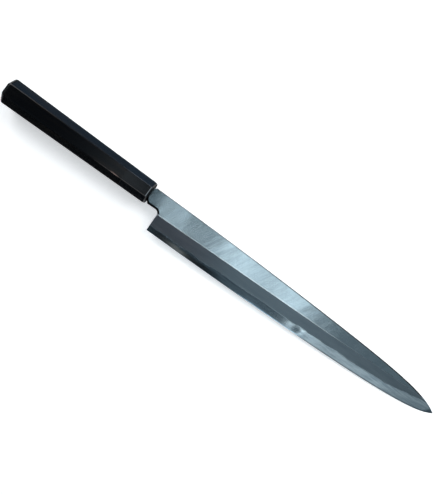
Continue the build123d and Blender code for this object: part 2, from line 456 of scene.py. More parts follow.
@dataclass(frozen=True)
class OiledEbony(Finish):
    """Ebony, planed to eight facets, oiled and burnished.

    It is almost black, with fine long pores, faint brown growth and a low sheen that is a little uneven. The
    lower front ridge shows one short streak of warm brown wood, and near the blade a painted highlight.
    """

    name: str = "ebony, oiled and burnished"
    wood_colour: str = "#04060a"
    growth_colour: str = "#15110f"
    growth: Pattern = Pattern((78.0, 4.0, 4.0), turn=1.5, detail=2.0)
    growth_levels: Span = (0.52, 0.70)
    # Real pores are about 0.15 mm wide; they are drawn coarser so that they show.
    grain: Pattern = Pattern((26.0, 0.8, 0.8), detail=4.0)
    pore_levels: Span = (0.35, 0.6)
    pore_tone: float = 0.55                 # brightness of a pore against the wood
    pore_strength: float = 0.12
    pore_depth: float = 0.03                # in mm
    streak_colour: str = "#ecc8ba"
    streak_middle: Place = (-0.1149, 0.0031, 0.0205)      # in metres, in the frame
    streak_size: Place = (10.5, 1.5, 2.6)
    streak_levels: Span = (0.10, 0.32)
    # Painted highlight on the lower front ridge near the blade.
    ridge: PaintedRidgeHighlight = PaintedRidgeHighlight()
    roughness: Span = (0.2565, 0.1425)      # in the pores and between them
    ior: float = 1.5

    def inputs(self, tree: Tree) -> dict[str, Any]:
        """Build what the shader takes, on Object coordinates.

        Args:
            tree: the material's node tree.

        Returns:
            A socket or a plain value for each input of the shader, by name.
        """
        grain = self.grain.level(tree)
        growth = add_node(tree, "ShaderNodeValToRGB", inputs=(self.growth.level(tree),),
                          stops=zip(self.growth_levels, (self.wood_colour, self.growth_colour)))
        here = add_node(tree, "ShaderNodeMapping", {"vector_type": "TEXTURE"}, {
            "Vector": add_node(tree, "ShaderNodeTexCoord", output="Object"),
            "Location": self.streak_middle, "Scale": tuple(size * MM for size in self.streak_size)})
        spindle = add_node(tree, "ShaderNodeTexGradient", {"gradient_type": "SPHERICAL"}, (here,), "Fac")
        broken = add_node(tree, "ShaderNodeMath", {"operation": "MULTIPLY"}, (spindle, grain))
        warm = add_node(tree, "ShaderNodeMapRange", inputs=(broken, *self.streak_levels))
        wood = add_node(tree, "ShaderNodeMix", {"data_type": "RGBA"}, (
            warm, self.ridge.over(tree, growth), linear(self.streak_colour)))
        pores = add_node(tree, "ShaderNodeMapRange", inputs=(grain, *self.pore_levels, self.pore_tone, 1.0))
        colour = add_node(tree, "ShaderNodeVectorMath", {"operation": "SCALE"}, (wood, pores))
        bump = add_node(tree, "ShaderNodeBump", inputs={
            "Height": grain, "Strength": self.pore_strength, "Distance": self.pore_depth * MM})
        sheen = add_node(tree, "ShaderNodeMapRange", inputs=(grain, 0.0, 1.0, *self.roughness))
        return {"Base Color": colour, "Roughness": sheen, "IOR": self.ior, "Normal": bump}


@dataclass(frozen=True)
class PolishedHorn(Finish):
    """Black buffalo horn, sawn from the solid tip and buffed.

    It is blacker and glossier than the wood, with faint grey fibres that run along it. Its front rim and the
    lower front ridge get a paler colour, which is painted highlight.
    """

    name: str = "buffalo horn, buffed"
    horn_colour: str = "#080b0f"
    fibre_colour: str = "#24262a"
    fibres: Pattern = Pattern((30.0, 1.2, 1.2))
    fibre_levels: Span = (0.5, 0.78)
    # Painted highlight: a pale line along the front rim, on the front facet.
    rim_highlight_colour: str = "#7c8286"
    rim_highlight_band: Span = (0.55, 1.45)           # from where to where the painted rim highlight lies, in mm
    rim_highlight_stops: tuple[tuple[float, float], ...] = ((0.0, 0.0), (0.25, 1.0), (0.75, 1.0), (1.0, 0.0))
    # Painted highlight on the lower front ridge near the blade.
    ridge: PaintedRidgeHighlight = PaintedRidgeHighlight()
    roughness: Span = (0.119, 0.255)        # between the fibres and in them
    ior: float = 1.54

    def inputs(self, tree: Tree) -> dict[str, Any]:
        """Build what the shader takes, on Object coordinates.

        Args:
            tree: the material's node tree.

        Returns:
            A socket or a plain value for each input of the shader, by name.
        """
        fibres = self.fibres.level(tree)
        plain = add_node(tree, "ShaderNodeValToRGB", inputs=(fibres,),
                         stops=zip(self.fibre_levels, (self.horn_colour, self.fibre_colour)))
        from_end, on_front = (
            add_node(tree, "ShaderNodeAttribute", {"attribute_name": mark.value}, output="Fac")
            for mark in (Mark.FROM_FREE_END, Mark.ON_FRONT))
        # Painted highlight along the front rim, on the front facet only.
        across = add_node(tree, "ShaderNodeMapRange", inputs=(from_end, *self.rim_highlight_band))
        band = add_node(tree, "ShaderNodeValToRGB", inputs=(across,), stops=self.rim_highlight_stops)
        worn = add_node(tree, "ShaderNodeMath", {"operation": "MULTIPLY"}, (band, on_front))
        horn = add_node(tree, "ShaderNodeMix", {"data_type": "RGBA"}, (
            worn, self.ridge.over(tree, plain), linear(self.rim_highlight_colour)))
        gloss = add_node(tree, "ShaderNodeMapRange", inputs=(fibres, 0.0, 1.0, *self.roughness))
        return {"Base Color": horn, "Roughness": gloss, "IOR": self.ior}


@dataclass(frozen=True)
class TwoTone(Finish):
    """A finish whose two close tones follow one pattern, which may stand out a little."""

    pattern: Pattern
    tones: tuple[str, str]
    levels: Span                            # of the pattern, at which each tone is full
    roughness: float
    relief: float = 0.0
    relief_depth: float = 0.05              # in mm
    specular_level: float = 0.5

    def inputs(self, tree: Tree) -> dict[str, Any]:
        """Build what the shader takes, on Object coordinates.

        Args:
            tree: the material's node tree.

        Returns:
            A socket or a plain value for each input of the shader, by name.
        """
        level = self.pattern.level(tree)
        colour = add_node(tree, "ShaderNodeValToRGB", inputs=(level,), stops=zip(self.levels, self.tones))
        taken = {"Base Color": colour, "Roughness": self.roughness,
                 "Specular IOR Level": self.specular_level}
        if self.relief:
            taken["Normal"] = add_node(tree, "ShaderNodeBump", inputs={
                "Height": level, "Strength": self.relief, "Distance": self.relief_depth * MM})
        return taken


@dataclass(frozen=True)
class SawnHorn(TwoTone):
    """The horn's front face, sawn across the fibres and left dull, so that it stays black at a slant."""

    name: str = "buffalo horn, sawn across"
    pattern: Pattern = Pattern((0.8, 0.8, 0.8), detail=2.0)
    tones: tuple[str, str] = ("#08090b", "#1a1b1e")
    levels: Span = (0.45, 0.8)
    roughness: float = 0.8
    specular_level: float = 0.08


@dataclass(frozen=True)
class TurnedMagnolia(TwoTone):
    """Bare magnolia wood, turned on a lathe: pale, straight-grained and matte."""

    name: str = "magnolia wood, turned and bare"
    pattern: Pattern = Pattern((40.0, 1.3, 1.3))
    tones: tuple[str, str] = ("#a98c5f", "#cdb68d")
    levels: Span = (0.35, 0.62)
    roughness: float = 0.62
    relief: float = 0.3


@dataclass(frozen=True)
class HardenedResin(TwoTone):
    """Dark glue that was poured round the tang and set, with a dull, faintly pitted skin."""

    name: str = "resin glue, poured and set"
    pattern: Pattern = Pattern((0.7, 0.7, 0.7), detail=2.0)
    tones: tuple[str, str] = ("#17130f", "#2b241d")
    levels: Span = (0.4, 0.75)
    roughness: float = 0.5
    relief: float = 0.4


@dataclass(frozen=True)
class MattePaper(Finish):
    """Matte paper of the backdrop, which keeps the knife's shadow.

    Where it glows, only the camera and gloss see that, so it looks white without more light on the knife.
    """

    name: str = "paper, matte"
    colour: str = "#f9f9f9"
    roughness: float = 0.9
    glow: float = 0.0

    def inputs(self, tree: Tree) -> dict[str, Any]:
        """Build what the shader takes.

        Args:
            tree: the material's node tree.

        Returns:
            A socket or a plain value for each input of the shader, by name.
        """
        seen = add_node(tree, "ShaderNodeLightPath").node.outputs
        rays = seen["Is Camera Ray"]
        for ray in ("Is Glossy Ray", "Is Transmission Ray"):
            rays = add_node(tree, "ShaderNodeMath", {"operation": "ADD"}, (rays, seen[ray]))
        strength = add_node(tree, "ShaderNodeMath", {"operation": "MULTIPLY"}, (rays, self.glow))
        return {"Base Color": linear(self.colour), "Roughness": self.roughness, "Specular IOR Level": 0.0,
                "Emission Color": linear(self.colour), "Emission Strength": strength}


def show(mesh: bpy.types.Mesh, name: str) -> bpy.types.Object:
    """Put a mesh into the scene as an object at the origin.

    Args:
        mesh: the finished mesh, in the frame.
        name: the piece's name.

    Returns:
        The new object.
    """
    mesh.name = name
    piece = bpy.data.objects.new(name, mesh)
    bpy.context.scene.collection.objects.link(piece)
    return piece


def fasten(piece: bpy.types.Object, node: str) -> None:
    """Let a piece stand for a node of the frame and ride on the knife's one body.

    Args:
        piece: the piece, already in place.
        node: the frame's node that it replaces.
    """
    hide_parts(node)
    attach(piece, "root")
    log.info("%s: %d faces", piece.name, len(piece.data.polygons))


def write_mark(mesh: bpy.types.Mesh, mark: Mark, rule: Callable[[bpy.types.MeshVertex], float]) -> None:
    """Give every vertex of a mesh its value of an attribute.

    Args:
        mesh: the mesh, still straight and in millimetres.
        mark: the attribute.
        rule: the value at a vertex.
    """
    values = mesh.attributes.new(mark.value, "FLOAT", "POINT").data
    for vertex in mesh.vertices:
        values[vertex.index].value = rule(vertex)


def smooth_step(value: float, start: float, end: float) -> float:
    """Rise smoothly from zero at a start to one at an end.

    Args:
        value: where on the way.
        start: where the rise begins.
        end: where it ends.

    Returns:
        The height, from zero to one.
    """
    part = min(1.0, max(0.0, (value - start) / (end - start)))
    return part * part * (3 - 2 * part)


def quarter_round(distance: float, radius: float) -> float:
    """How far a rounded edge lies below the corner that it eases.

    Args:
        distance: how far inside the corner.
        radius: the rounding's radius.

    Returns:
        The drop, which is the radius at the corner and zero from the radius inwards.
    """
    if distance >= radius:
        return 0.0
    return radius - math.sqrt(max(0.0, radius**2 - (radius - max(0.0, distance))**2))


def lifted_solid(outline: Sequence[Plan], ribs: Sequence[Sequence[Plan]], top: Height,
                 bottom: Height) -> bmesh.types.BMesh:
    """Closed solid over a plan: a fine triangle net, lifted to a top and a bottom height.

    Args:
        outline: the plan's outline, in order.
        ribs: lines of points inside the plan that the net follows.
        top: height of the upper skin at a place.
        bottom: height of the lower skin at a place.

    Returns:
        The solid, in millimetres, with its skins joined by walls, merged where they meet and left out
        where nothing lies between them.
    """
    places = [Vector(point) for point in outline]
    edges = [(index, (index + 1) % len(outline)) for index in range(len(outline))]
    for rib in ribs:
        first = len(places)
        places += [Vector(point) for point in rib]
        edges += [(index, index + 1) for index in range(first, len(places) - 1)]
    net, _, triangles, *_ = delaunay_2d_cdt(places, edges, [], 1, PLAN_TOLERANCE)
    solid = bmesh.new()
    upper = [solid.verts.new((x, y, top(x, y))) for x, y in net]
    lower = [solid.verts.new((x, y, bottom(x, y))) for x, y in net]
    directed = set()
    for corners in triangles:
        if all(upper[index].co.z - lower[index].co.z < PLAN_TOLERANCE for index in corners):
            continue
        a, b, c = (net[index] for index in corners)
        turned = list(corners) if (b - a).cross(c - a) > 0 else list(reversed(corners))
        solid.faces.new([upper[index] for index in turned])
        solid.faces.new([lower[index] for index in reversed(turned)])
        directed.update(zip(turned, turned[1:] + turned[:1]))
    for start, end in directed:
        if (end, start) not in directed:
            solid.faces.new((upper[start], lower[start], lower[end], upper[end]))
    for vertex in [vertex for vertex in solid.verts if not vertex.link_faces]:
        solid.verts.remove(vertex)
    bmesh.ops.remove_doubles(solid, verts=solid.verts, dist=PLAN_TOLERANCE)
    bmesh.ops.dissolve_degenerate(solid, dist=PLAN_TOLERANCE, edges=solid.edges)
    return solid


@dataclass
class RestingPlace:
    """Where the knife lies: on the ferrule's lower front rim and the tip, as its frame says.

    Sizes are in millimetres and give the tilt; the shift is read from the frame's nodes.
    """

    front_thickness: float = 18.2
    butt_thickness: float = 20.4
    handle_length: float = 149.5
    rim: float = 1.0
    axis_z: float = 2.0
    tip_x: float = 315.2
    tilt: float = field(init=False)
    to_frame: Matrix = field(init=False)

    def __post_init__(self) -> None:
        """Work out the tilt and the shift."""
        half = (self.front_thickness + self.rim / self.handle_length
                * (self.butt_thickness - self.front_thickness)) / 2
        self.tilt = math.atan2(half - self.axis_z, self.tip_x + self.rim)
        turn = Matrix.Rotation(self.tilt, 4, "Y")
        grip_low, grip_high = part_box(Stretch.GRIP.value)
        ferrule_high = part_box(Stretch.FERRULE.value)[1]
        upper_rim = turn @ Vector((0.0, 0.0, self.axis_z + self.front_thickness / 2 - self.rim))
        lower_rim = turn @ Vector((-self.rim, 0.0, self.axis_z - half))
        shift = Vector((ferrule_high.x - upper_rim.x * MM, (grip_low.y + grip_high.y) / 2,
                        -lower_rim.z * MM))
        self.to_frame = Matrix.Translation(shift) @ turn @ Matrix.Scale(MM, 4)


@dataclass
class Blade:
    """The two-layer blade with its neck and hidden tang. Sizes are in millimetres.

    The outline follows two curves, in which each power of the share of the blade's length adds a share of
    the whole fall of the spine or rise of the edge.
    """

    place: RestingPlace
    finishes: dict[Layer, BladeMetal] = field(default_factory=lambda: {
        Layer.SOFT_IRON: BladeMetal("soft iron, belt ground and stone hazed"),
        Layer.HARD_STEEL: BladeMetal("hard steel, stone polished")})
    length: float = 300.0
    height: float = 34.8
    spine_top: float = 6.9
    tip_below_axis: float = 11.0
    spine_thickness: float = 4.0
    tip_thickness: float = 2.0
    bevel_width: float = 16.4
    bevel_width_at_tip: float = 5.8
    spine_easing: float = 0.4
    spine_easing_limit: float = 1 / 3       # as a share of the blade's thickness
    spine_shade_width: Span = (0.45, 1.15)         # width of its band of painted shade at the heel and at the tip
    spine_fall_shares: dict[int, float] = field(default_factory=lambda: {2: 0.469, 12: 0.399, 30: 0.132})
    edge_rise_shares: dict[int, float] = field(default_factory=lambda: {2: 0.460, 9: 0.360, 40: 0.180})
    hollow_depth: float = 0.45
    hollow_edge_rim: float = 2.4
    hollow_spine_rim: float = 3.0
    hollow_heel_rim: float = 5.0
    hollow_tip_rim: float = 18.0
    hollow_end_power: int = 8
    steel_thickness: float = 1.35
    steel_rise_at_tip: float = 0.75
    steel_rise_power: int = 12
    steel_start: float = 7.0
    steel_wave_shares: tuple[float, ...] = (0.0, 0.03, -0.03, 0.02, 0.04, -0.03, 0.0, -0.06, -0.13,
                                            -0.13, 0.05, 0.0)
    weld_shiver: float = 0.035              # height of the weld's fine unevenness
    weld_shiver_length: float = 5.0
    steel_swell: float = 0.05               # how far honing leaves the steel's bevel proud of flat
    full_steel_share: float = 1 / 3         # of the bevel's width, from which the steel swells in full
    hone_dips: tuple[Place, ...] = ((0.512, 6.0, 0.065), (0.541, 5.5, -0.12))   # share, width and depth
    dip_power: int = 4                      # of a dip's cross profile: a higher one has a flatter floor
    neck_length: float = 15.2
    neck_height: float = 15.4
    neck_flare: float = 0.4
    neck_easing: float = 2.0
    neck_easing_slope: float = 0.5
    heel_radius: float = 4.0
    spine_shoulder: float = 1.5
    belly_shoulder: float = 1.9
    shoulder_gap: float = 1.0
    tang_length: float = 100.0
    tang_end_height: float = 6.0
    tang_end_thickness: float = 2.8
    tang_stations: Span = (HALF, 1.0)       # shares of its length to which it is drawn out in turn
    ridge_softness: float = 0.35            # half the width over which the bevel line is worn soft
    worn_over_shares: Span = (0.62, 0.78)   # where the stones start to run over that line
    micro_height: float = 0.13              # height of the tiny second bevel that strengthens the edge
    micro_slope: float = 0.55
    station_count: int = 190
    station_power: float = 1.3
    spine_lines_inside: tuple[float, ...] = (0.15, 0.45, 1.0, 1.6, 2.6)         # in widths of the easing
    notch_lines_inside: tuple[float, ...] = (0.5, 1.0, 1.2)
    iron_line_parts: tuple[float, ...] = (0.35, 0.7)
    steel_line_parts: tuple[float, ...] = (0.12, 0.3, 0.5, 0.7, 0.88)
    hollow_line_parts: tuple[float, ...] = (-1.0, -0.75, -0.5, -0.25, 0.0, 0.25, 0.5, 0.75, 1.0)

    @property
    def edge_low(self) -> float:
        """Y of the edge at the heel."""
        return self.spine_top - self.height

    @property
    def neck_low(self) -> float:
        """Y of the neck's underside at the heel."""
        return self.spine_top - self.neck_height

    @property
    def tang_low(self) -> float:
        """Y of the tang's underside at the shoulders."""
        return self.neck_low - self.neck_flare + self.belly_shoulder

    @property
    def foot(self) -> float:
        """X where the neck's underside starts, beyond its cut shoulder."""
        return self.shoulder_gap + self.belly_shoulder

    @property
    def tip_share(self) -> float:
        """Share of the length where the blade's eased tip ends."""
        return 1 - self.spine_easing / self.length

    def along(self, share: float) -> float:
        """X at a share of the blade's length."""
        return self.neck_length + share * self.length

    def share_at(self, x: float) -> float:
        """Share of the blade's length at X, not less than zero."""
        return max(0.0, (x - self.neck_length) / self.length)

    def spine_y(self, share: float) -> float:
        """Y of the spine at a share of the length."""
        fallen = sum(part * share**power for power, part in self.spine_fall_shares.items())
        return self.spine_top - (self.spine_top + self.tip_below_axis) * fallen

    def edge_y(self, share: float) -> float:
        """Y of the cutting edge at a share of the length."""
        risen = sum(part * share**power for power, part in self.edge_rise_shares.items())
        return self.edge_low - (self.edge_low + self.tip_below_axis) * risen

    def bevel_line_y(self, share: float) -> float:
        """Y of the line where the flat ends and the bevel begins."""
        heel, tip = self.edge_low + self.bevel_width, self.bevel_width_at_tip - self.tip_below_axis
        return heel + (tip - heel) * share

    def bevel_slope(self, share: float) -> float:
        """Rise of the bevel for its run, from the tiny second bevel to the flat."""
        rise = self.flat_z(self.along(share)) - self.micro_height
        return rise / (self.bevel_line_y(share) - self.edge_y(share))

    def flat_z(self, x: float) -> float:
        """Height of the front flat above the back."""
        thinned = x / self.along(1)
        return self.spine_thickness + (self.tip_thickness - self.spine_thickness) * thinned

    def micro_width(self, share: float) -> float:
        """Width of the tiny second bevel at a share of the length."""
        return self.micro_height / (self.micro_slope - self.bevel_slope(share))

    def neck_y(self, x: float) -> float:
        """Y of the neck's underside, which flares a little towards the handle."""
        return self.neck_low - self.neck_flare * (self.neck_length - x) / (self.neck_length - self.foot)

    def spine_radius(self, x: float, share: float) -> float:
        """Radius of the spine's rounding, smaller where the blade thins out to the tip."""
        return min(self.spine_easing, self.ground_z(x, self.spine_y(share)) * self.spine_easing_limit)

    def ground_z(self, x: float, y: float) -> float:
        """Height of the front before its edges are eased: the flat, or the bevel below its line.

        Args:
            x: place along the knife.
            y: place across it.

        Returns:
            The height above the back.
        """
        share = self.share_at(x)
        edge, flat = self.edge_y(share), self.flat_z(x)
        across = (y - edge) / (self.bevel_line_y(share) - edge)
        bevel = self.micro_height + (flat - self.micro_height) * across
        return max(0.0, min(flat, bevel, self.micro_slope * (y - edge)))

    def weld_z(self, share: float) -> float:
        """Height of the weld between steel and iron, which wavers along the blade.

        Args:
            share: share of the blade's length.

        Returns:
            The height above the back.
        """
        last = len(self.steel_wave_shares) - 1
        place = min(share, 1.0) * last
        index = min(int(place), last - 1)
        before, after = self.steel_wave_shares[index:index + 2]
        wave = before + (after - before) * smooth_step(place, index, index + 1)
        shiver = noise.noise(Vector((share * self.length / self.weld_shiver_length, 0.0, 0.0)))
        return (self.steel_thickness * (1 + wave) + self.steel_rise_at_tip * share**self.steel_rise_power
                + self.weld_shiver * shiver)

    def weld_line_y(self, share: float) -> float:
        """Y where the weld comes out on the bevel, or the spine where it has risen past it."""
        risen = (self.weld_z(share) - self.micro_height) / self.bevel_slope(share)
        return min(self.edge_y(share) + risen, self.spine_y(share))

    def inside_notch(self, x: float, y: float) -> float:
        """Distance from the notch's edge: the neck's underside, the round inner corner and the heel.

        Args:
            x: place along the knife.
            y: place across it.

        Returns:
            The distance inside the blade.
        """
        centre_x = self.neck_length - self.heel_radius
        centre_y = self.neck_y(centre_x) - self.heel_radius
        if x < centre_x:
            slanted = (x + y - self.shoulder_gap - self.tang_low) / math.sqrt(2)
            return min(y - self.neck_y(x), max(slanted, 0.0))
        if y < centre_y:
            return x - self.neck_length
        return math.hypot(x - centre_x, y - centre_y) - self.heel_radius

    def inside_rim(self, x: float, y: float) -> float:
        """Distance inside the spine or the notch, as a share of the width of its band of painted shade.

        Args:
            x: place along the knife.
            y: place across it.

        Returns:
            The smaller of the two shares.
        """
        share = self.share_at(x)
        heel, tip = self.spine_shade_width
        inside_spine = (self.spine_y(share) - y) / (heel + (tip - heel) * share)
        return min(inside_spine, self.inside_notch(x, y) / self.neck_easing)

    def swell(self, share: float, y: float) -> float:
        """How far the hard steel's part of the bevel bows out, less the dips that honing left in it.

        Args:
            share: share of the blade's length.
            y: place across the blade.

        Returns:
            The height above a plain bevel.
        """
        edge, weld = self.edge_y(share), self.weld_line_y(share)
        if not edge < y < weld:
            return 0.0
        across = (y - edge) / (weld - edge)
        bow, trough = 1 - (2 * across - 1)**2, 1 - (2 * across - 1)**self.dip_power
        dips = sum(depth * math.exp(-((share - middle) * self.length / width)**2)
                   for middle, width, depth in self.hone_dips)
        full_width = self.bevel_width * self.full_steel_share
        return min(1.0, (weld - edge) / full_width) * (self.steel_swell * bow - dips * trough)

    def front_z(self, x: float, y: float) -> float:
        """Height of the finished front.

        Args:
            x: place along the knife.
            y: place across it.

        Returns:
            The height above the back.
        """
        share = self.share_at(x)
        spine_drop = quarter_round(self.spine_y(share) - y, self.spine_radius(x, share))
        notch_drop = self.neck_easing_slope * max(0.0, self.neck_easing - self.inside_notch(x, y))
        height = min(self.flat_z(x) - notch_drop, self.ground_z(x, y) - spine_drop)
        return max(height, 0.0) + self.swell(share, y)

    def hollow_bounds(self, share: float) -> tuple[float, float, float]:
        """The hollow across the back at a share of the length.

        Args:
            share: share of the blade's length.

        Returns:
            The hollow's middle in Y, half its width between the rims, and how full it is.
        """
        low, high = self.edge_y(share) + self.hollow_edge_rim, self.spine_y(share) - self.hollow_spine_rim
        run = self.length - self.hollow_heel_rim - self.hollow_tip_rim
        station = (share * self.length - self.hollow_heel_rim) / run
        fullness = max(0.0, 1 - abs(2 * station - 1)**self.hollow_end_power)
        return (low + high) / 2, (high - low) / 2, fullness

    def back_z(self, x: float, y: float) -> float:
        """Height of the back: its flat rims, the shallow hollow and the spine's rounding.

        Args:
            x: place along the knife.
            y: place across it.

        Returns:
            The height above the plane of the rims.
        """
        share = self.share_at(x)
        rounding = quarter_round(self.spine_y(share) - y, self.spine_radius(x, share))
        if x < self.neck_length:
            return rounding
        middle, half, fullness = self.hollow_bounds(share)
        return max(rounding, self.hollow_depth * (fullness - ((y - middle) / half)**2))

    def iron_under_z(self, x: float, y: float) -> float:
        """Underside of the iron: the weld, or the back itself behind the steel layer's start.

        Args:
            x: place along the knife.
            y: place across it.

        Returns:
            The height above the plane of the back's rims.
        """
        if x < self.neck_length - self.steel_start - LINE_MARGIN / 2:
            return self.back_z(x, y)
        return self.weld_z(self.share_at(x))

    def iron_over_z(self, x: float, y: float) -> float:
        """Upper side of the iron: the front, which ends where the weld comes out."""
        return max(self.front_z(x, y), self.iron_under_z(x, y))

    def steel_over_z(self, x: float, y: float) -> float:
        """Upper side of the steel: the weld, or the bevel where it is lower."""
        return max(min(self.weld_z(self.share_at(x)), self.front_z(x, y)), self.back_z(x, y))

    def stations(self) -> list[float]:
        """Shares of the length from heel to tip, closer together towards the tip."""
        return [self.tip_share * (1 - (1 - index / self.station_count)**self.station_power)
                for index in range(self.station_count + 1)]

    def notch_line(self, inset: float, low: float) -> list[Plan]:
        """Line that follows the notch from the shoulder to the heel's foot.

        Args:
            inset: how far inside the notch's edge the line runs.
            low: the Y at which it ends on the heel.

        Returns:
            Points from the neck's foot to the heel.
        """
        foot = self.foot + inset * (math.sqrt(2) - 1)
        centre_x = self.neck_length - self.heel_radius
        centre_y = self.neck_y(centre_x) - self.heel_radius
        radius = self.heel_radius + inset
        parts = [step / NOTCH_STEPS for step in range(NOTCH_STEPS + 1)]
        points = []
        if inset:
            points.append((self.shoulder_gap + LINE_MARGIN,
                           inset * math.sqrt(2) + self.tang_low - LINE_MARGIN))
        for part in parts[:-1]:
            x = foot + (centre_x - foot) * part
            points.append((x, self.neck_y(x) + inset))
        for angle in (math.pi / 2 * part for part in parts):
            points.append((centre_x + radius * math.sin(angle), centre_y + radius * math.cos(angle)))
        points += [(self.neck_length + inset, centre_y - (centre_y - low) * part) for part in parts[1:]]
        return points

    def line(self, across: Callable[[float], float], low: Callable[[float], float]) -> list[Plan]:
        """Line along the blade, kept where it lies inside the plan.

        Args:
            across: the line's Y at a share of the length.
            low: the plan's lower limit there.

        Returns:
            The points that lie between that limit and the spine.
        """
        return [(self.along(share), across(share)) for share in self.stations()
                if low(share) + LINE_MARGIN < across(share) < self.spine_y(share) - LINE_MARGIN]

    def spine_lines(self, start_x: float, end_share: float) -> list[list[Plan]]:
        """Lines beside the spine that carry its rounding.

        Args:
            start_x: where they begin, on the neck.
            end_share: the share of the length where they end.

        Returns:
            One line of points for each inset.
        """
        lines = []
        for inset in (part * self.spine_easing for part in self.spine_lines_inside):
            neck = [(start_x + (self.neck_length - start_x) * step / NOTCH_STEPS, self.spine_top - inset)
                    for step in range(1, NOTCH_STEPS)]
            lines.append(neck + [(self.along(share), self.spine_y(share) - inset)
                                 for share in self.stations()
                                 if share < end_share and self.edge_y(share) + 2 * inset
                                 < self.spine_y(share) - inset])
        return lines

    def iron_solid(self) -> bmesh.types.BMesh:
        """Soft iron layer with the neck, over the weld, and with the tang drawn out of its shoulders.

        Returns:
            The solid, in millimetres.
        """
        end = next(share for share in self.stations() if self.weld_line_y(share) >= self.spine_y(share))
        shares = [share for share in self.stations() if share <= end]
        weld, bevel = self.weld_line_y, self.bevel_line_y
        outline = [(self.shoulder_gap, self.tang_low)] + self.notch_line(0.0, weld(0))
        outline += [(self.along(share), weld(share)) for share in shares[1:]]
        outline += [(self.along(share), self.spine_y(share)) for share in reversed(shares[:-1])]
        outline += [(self.shoulder_gap + self.spine_shoulder, self.spine_top),
                    (self.shoulder_gap, self.spine_top - self.spine_shoulder)]
        ribs = self.spine_lines(self.shoulder_gap + self.spine_shoulder, end)
        ribs += [self.notch_line(inset * self.neck_easing, weld(0) + LINE_MARGIN)
                 for inset in self.notch_lines_inside]
        for offset in (-self.ridge_softness, 0.0, self.ridge_softness):
            ribs.append(self.line(lambda share: bevel(share) + offset, weld))
        for part in self.iron_line_parts:
            ribs.append(self.line(lambda share: weld(share) + part * (bevel(share) - weld(share)), weld))
            ribs.append(self.line(lambda share: bevel(share) + part * (self.spine_y(share) - bevel(share)),
                                  weld))
        step_x = self.neck_length - self.steel_start
        ribs += [[(x, self.neck_y(x) + LINE_MARGIN), (x, self.spine_top - LINE_MARGIN)]
                 for x in (step_x - LINE_MARGIN, step_x)]
        solid = lifted_solid(outline, ribs, self.iron_over_z, self.iron_under_z)
        self.draw_out_tang(solid)
        return solid

    def tang_section(self, share: float) -> tuple[Vector, Vector]:
        """Where the tang's section lies, and its size.

        Args:
            share: how far along the tang, from the shoulders to its end.

        Returns:
            The section's middle, and its size, whose X is one.
        """
        top, thickness = self.spine_top - self.spine_shoulder, self.flat_z(self.shoulder_gap)
        root = Vector((self.shoulder_gap, (top + self.tang_low) / 2, thickness / 2))
        end = Vector((-self.tang_length, 0.0, self.place.axis_z))
        root_size = Vector((1.0, top - self.tang_low, thickness))
        end_size = Vector((1.0, self.tang_end_height, self.tang_end_thickness))
        return root.lerp(end, share), root_size.lerp(end_size, share)

    def draw_out_tang(self, solid: bmesh.types.BMesh) -> None:
        """Draw the tang out of the wall between the shoulders, in two steps.

        Args:
            solid: the iron, which gets the tang.
        """
        wall = [face for face in solid.faces
                if all(abs(vertex.co.x - self.shoulder_gap) < PLAN_TOLERANCE for vertex in face.verts)]
        middle, size = self.tang_section(0.0)
        for share in self.tang_stations:
            drawn = bmesh.ops.extrude_face_region(solid, geom=wall)["geom"]
            bmesh.ops.delete(solid, geom=wall, context="FACES_ONLY")
            wall = [item for item in drawn if isinstance(item, bmesh.types.BMFace)]
            new_middle, new_size = self.tang_section(share)
            for vertex in {vertex for face in wall for vertex in face.verts}:
                offset = vertex.co - middle
                scaled = [part * new / old for part, new, old in zip(offset, new_size, size)]
                vertex.co = new_middle + Vector(scaled)
            middle, size = new_middle, new_size

    def steel_solid(self) -> bmesh.types.BMesh:
        """Hard steel layer under the weld, with the hollow back.

        Returns:
            The solid, in millimetres.
        """
        shares = self.stations()
        weld, edge = self.weld_line_y, self.edge_y
        start_x = self.neck_length - self.steel_start
        outline = [(start_x, self.neck_y(start_x))]
        outline += [point for point in self.notch_line(0.0, self.edge_low) if point[0] > start_x]
        outline += [(self.along(share), edge(share)) for share in shares[1:]]
        outline += [(self.along(share), self.spine_y(share)) for share in reversed(shares)]
        outline += [(start_x, self.spine_top)]
        ribs = self.spine_lines(start_x, self.tip_share)
        ribs.append(self.line(weld, edge))
        ribs.append(self.line(lambda share: edge(share) + self.micro_width(share), edge))
        ribs.append(self.line(self.bevel_line_y, weld))
        for part in self.steel_line_parts:
            ribs.append(self.line(lambda share: edge(share) + part * (weld(share) - edge(share)), edge))
        bounds = [(self.along(share), *self.hollow_bounds(share)) for share in shares]
        for part in self.hollow_line_parts:
            ribs.append([(x, middle + part * half * math.sqrt(fullness))
                         for x, middle, half, fullness in bounds if fullness > 0])
        return lifted_solid(outline, ribs, self.steel_over_z, self.back_z)

